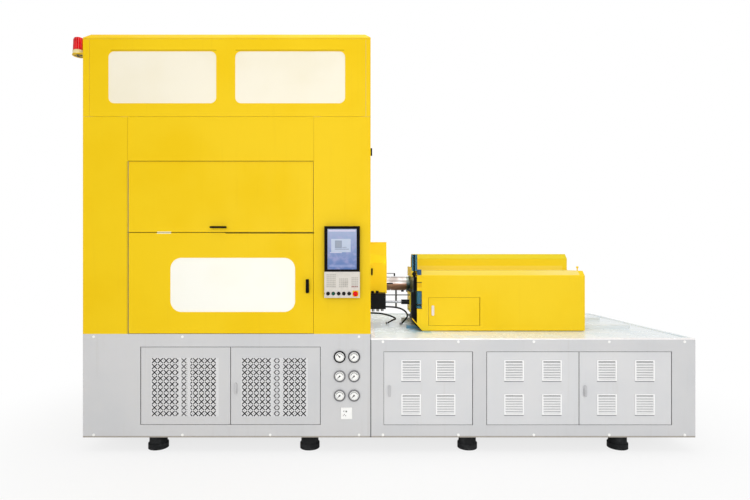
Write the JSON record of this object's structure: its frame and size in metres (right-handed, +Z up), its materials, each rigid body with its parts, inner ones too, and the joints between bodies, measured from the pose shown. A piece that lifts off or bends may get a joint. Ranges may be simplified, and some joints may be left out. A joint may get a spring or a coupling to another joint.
{
  "type": "blow moulding machine",
  "caption": "Floor-standing one-step stretch blow moulding machine: tall clamp cabinet, low base with deck, horizontal injection unit, opening doors.",
  "frame": {"origin": "middle of the footprint at floor level", "axes": "+X along the machine from the clamp cabinet to the injection unit, +Y from the front to the back, +Z up"},
  "size_m": [5.2329, 1.98, 3.5],
  "materials": {
    "yellow_paint": "satin yellow enamel",
    "grey_paint": "satin light grey enamel",
    "pale_deck": "satin pale grey enamel",
    "black_plastic": "fine matt black",
    "latch_metal": "pale grey zinc",
    "foot_rubber": "matt black",
    "steel": "machined",
    "mould_metal": "machined",
    "dark_iron": "painted dark",
    "white_plastic": "smooth white",
    "gauge_metal": "polished",
    "pane": "cream, lit from behind",
    "screen_glass": "lit display",
    "key_membrane": "printed membrane",
    "red_lens": "clear red",
    "red_button": "smooth red",
    "green_button": "smooth green",
    "black_button": "smooth black",
    "hose_rubber": "smooth black"
  },
  "bodies": {
    "machine": {"levelling_feet": "foot_rubber", "base_frames": "grey_paint", "base_fronts": "grey_paint", "base_cladding": "grey_paint", "deck_plate": "pale_deck", "gauge_cases": "gauge_metal", "gauge_dials": "white_plastic", "gauge_pointers": "black_plastic", "white_fittings": "white_plastic", "cabinet_frame": "grey_paint", "cabinet_walls": "yellow_paint", "cabinet_roof": "yellow_paint", "front_panels": "yellow_paint", "window_panes": "pane", "hinge_arms": "steel", "hmi_housing": "black_plastic", "hmi_screen": "screen_glass", "key_panel": "key_membrane", "beacon_base": "white_plastic", "beacon_lens": "red_lens", "platens": "steel", "clamp_columns": "steel", "station_tooling": "steel", "valve_block": "dark_iron", "guide_rails": "steel", "hose_front": "hose_rubber", "hose_rear": "hose_rubber"},
    "lift_door": {"lift_door": "yellow_paint", "lift_pull": "black_plastic"},
    "swing_door": {"swing_door": "yellow_paint", "sight_pane": "pane", "swing_grip": "black_plastic"},
    "side_gate": {"side_gate": "yellow_paint", "side_grip": "black_plastic"},
    "perforated_door_left": {"perforated_door_left": "grey_paint"},
    "perforated_door_right": {"perforated_door_right": "grey_paint"},
    "latch_base": {"latch_base": "latch_metal"},
    "louvre_door_1": {"louvre_door_1": "grey_paint"},
    "louvre_door_2": {"louvre_door_2": "grey_paint"},
    "louvre_door_3": {"louvre_door_3": "grey_paint"},
    "louvre_latch_1": {"louvre_latch_1": "latch_metal"},
    "louvre_latch_3": {"louvre_latch_3": "latch_metal"},
    "push_button_1": {"push_button_1": "black_button"},
    "push_button_2": {"push_button_2": "green_button"},
    "push_button_3": {"push_button_3": "black_button"},
    "push_button_4": {"push_button_4": "black_button"},
    "push_button_5": {"push_button_5": "black_button"},
    "emergency_stop": {"emergency_stop": "red_button"},
    "index_table": {"index_table": "steel"},
    "core_platen": {"core_platen": "steel"},
    "stretch_crosshead": {"stretch_crosshead": "steel"},
    "blow_mould_left": {"blow_mould_left": "mould_metal"},
    "blow_mould_right": {"blow_mould_right": "mould_metal"},
    "injection_unit": {"carriage": "dark_iron", "barrel": "steel", "injection_covers": "yellow_paint"},
    "hatch": {"hatch": "yellow_paint"},
    "latch_hatch": {"latch_hatch": "latch_metal"},
    "purge_guard": {"purge_guard": "yellow_paint", "guard_grip": "black_plastic"}
  },
  "joints": [
    {"name": "lift_door_slide", "type": "slide", "parent": "machine", "child": "lift_door", "axis": [0, 0, 1], "range_m": [0, 0.44]},
    {"name": "swing_door_hinge", "type": "hinge", "parent": "machine", "child": "swing_door", "pos_m": [-2.1025, -0.9, 1.4], "axis": [0, 0, -1], "range_deg": [0, 90]},
    {"name": "side_gate_hinge", "type": "hinge", "parent": "machine", "child": "side_gate", "pos_m": [-0.1015, -0.214, 2.33], "axis": [0, 0, 1], "range_deg": [0, 90]},
    {"name": "perforated_left_hinge", "type": "hinge", "parent": "machine", "child": "perforated_door_left", "pos_m": [-1.9985, -0.9, 0.55], "axis": [0, 0, -1], "range_deg": [0, 90]},
    {"name": "perforated_right_hinge", "type": "hinge", "parent": "machine", "child": "perforated_door_right", "pos_m": [-0.5225, -0.9, 0.55], "axis": [0, 0, 1], "range_deg": [0, 90]},
    {"name": "latch_base_turn", "type": "hinge", "parent": "perforated_door_right", "child": "latch_base", "pos_m": [-1.2165, -0.91, 0.555], "axis": [0, 1, 0], "range_deg": [0, 90]},
    {"name": "louvre_1_hinge", "type": "hinge", "parent": "machine", "child": "louvre_door_1", "pos_m": [0.7475, -0.9, 0.53], "axis": [0, 0, 1], "range_deg": [0, 90]},
    {"name": "louvre_2_hinge", "type": "hinge", "parent": "machine", "child": "louvre_door_2", "pos_m": [0.8875, -0.9, 0.53], "axis": [0, 0, -1], "range_deg": [0, 90]},
    {"name": "louvre_3_hinge", "type": "hinge", "parent": "machine", "child": "louvre_door_3", "pos_m": [2.4075, -0.9, 0.53], "axis": [0, 0, 1], "range_deg": [0, 90]},
    {"name": "louvre_latch_1_turn", "type": "hinge", "parent": "louvre_door_1", "child": "louvre_latch_1", "pos_m": [0.0645, -0.91, 0.533], "axis": [0, 1, 0], "range_deg": [0, 90]},
    {"name": "louvre_latch_3_turn", "type": "hinge", "parent": "louvre_door_3", "child": "louvre_latch_3", "pos_m": [1.6955, -0.91, 0.533], "axis": [0, 1, 0], "range_deg": [0, 90]},
    {"name": "push_button_1_press", "type": "slide", "parent": "machine", "child": "push_button_1", "axis": [0, 1, 0], "range_m": [0, 0.004], "stiffness_N_per_m": 1500},
    {"name": "push_button_2_press", "type": "slide", "parent": "machine", "child": "push_button_2", "axis": [0, 1, 0], "range_m": [0, 0.004], "stiffness_N_per_m": 1500},
    {"name": "push_button_3_press", "type": "slide", "parent": "machine", "child": "push_button_3", "axis": [0, 1, 0], "range_m": [0, 0.004], "stiffness_N_per_m": 1500},
    {"name": "push_button_4_press", "type": "slide", "parent": "machine", "child": "push_button_4", "axis": [0, 1, 0], "range_m": [0, 0.004], "stiffness_N_per_m": 1500},
    {"name": "push_button_5_press", "type": "slide", "parent": "machine", "child": "push_button_5", "axis": [0, 1, 0], "range_m": [0, 0.004], "stiffness_N_per_m": 1500},
    {"name": "emergency_stop_press", "type": "slide", "parent": "machine", "child": "emergency_stop", "axis": [0, 1, 0], "range_m": [0, 0.005], "stiffness_N_per_m": 2000},
    {"name": "index_table_turn", "type": "hinge", "parent": "machine", "child": "index_table", "pos_m": [-1.3915, 0.04, 1.64], "axis": [0, 0, 1], "continuous": true},
    {"name": "core_platen_slide", "type": "slide", "parent": "machine", "child": "core_platen", "axis": [0, 0, -1], "range_m": [0, 0.33]},
    {"name": "stretch_slide", "type": "slide", "parent": "machine", "child": "stretch_crosshead", "axis": [0, 0, -1], "range_m": [0, 0.29]},
    {"name": "blow_mould_left_slide", "type": "slide", "parent": "machine", "child": "blow_mould_left", "axis": [1, 0, 0], "range_m": [0, 0.1098]},
    {"name": "blow_mould_right_slide", "type": "slide", "parent": "machine", "child": "blow_mould_right", "axis": [-1, 0, 0], "range_m": [0, 0.1098]},
    {"name": "injection_unit_slide", "type": "slide", "parent": "machine", "child": "injection_unit", "axis": [1, 0, 0], "range_m": [0, 0.15]},
    {"name": "hatch_hinge", "type": "hinge", "parent": "injection_unit", "child": "hatch", "pos_m": [0.9135, -0.46, 1.12], "axis": [0, 0, 1], "range_deg": [0, 85]},
    {"name": "latch_hatch_turn", "type": "hinge", "parent": "hatch", "child": "latch_hatch", "pos_m": [0.4895, -0.47, 1.158], "axis": [0, 1, 0], "range_deg": [0, 90]},
    {"name": "purge_guard_slide", "type": "slide", "parent": "machine", "child": "purge_guard", "axis": [1, 0, 0], "range_m": [0, 0.12]}
  ],
  "couplings": [
    {"joint": "blow_mould_right_slide", "follows": "blow_mould_left_slide", "ratio": 1}
  ]
}
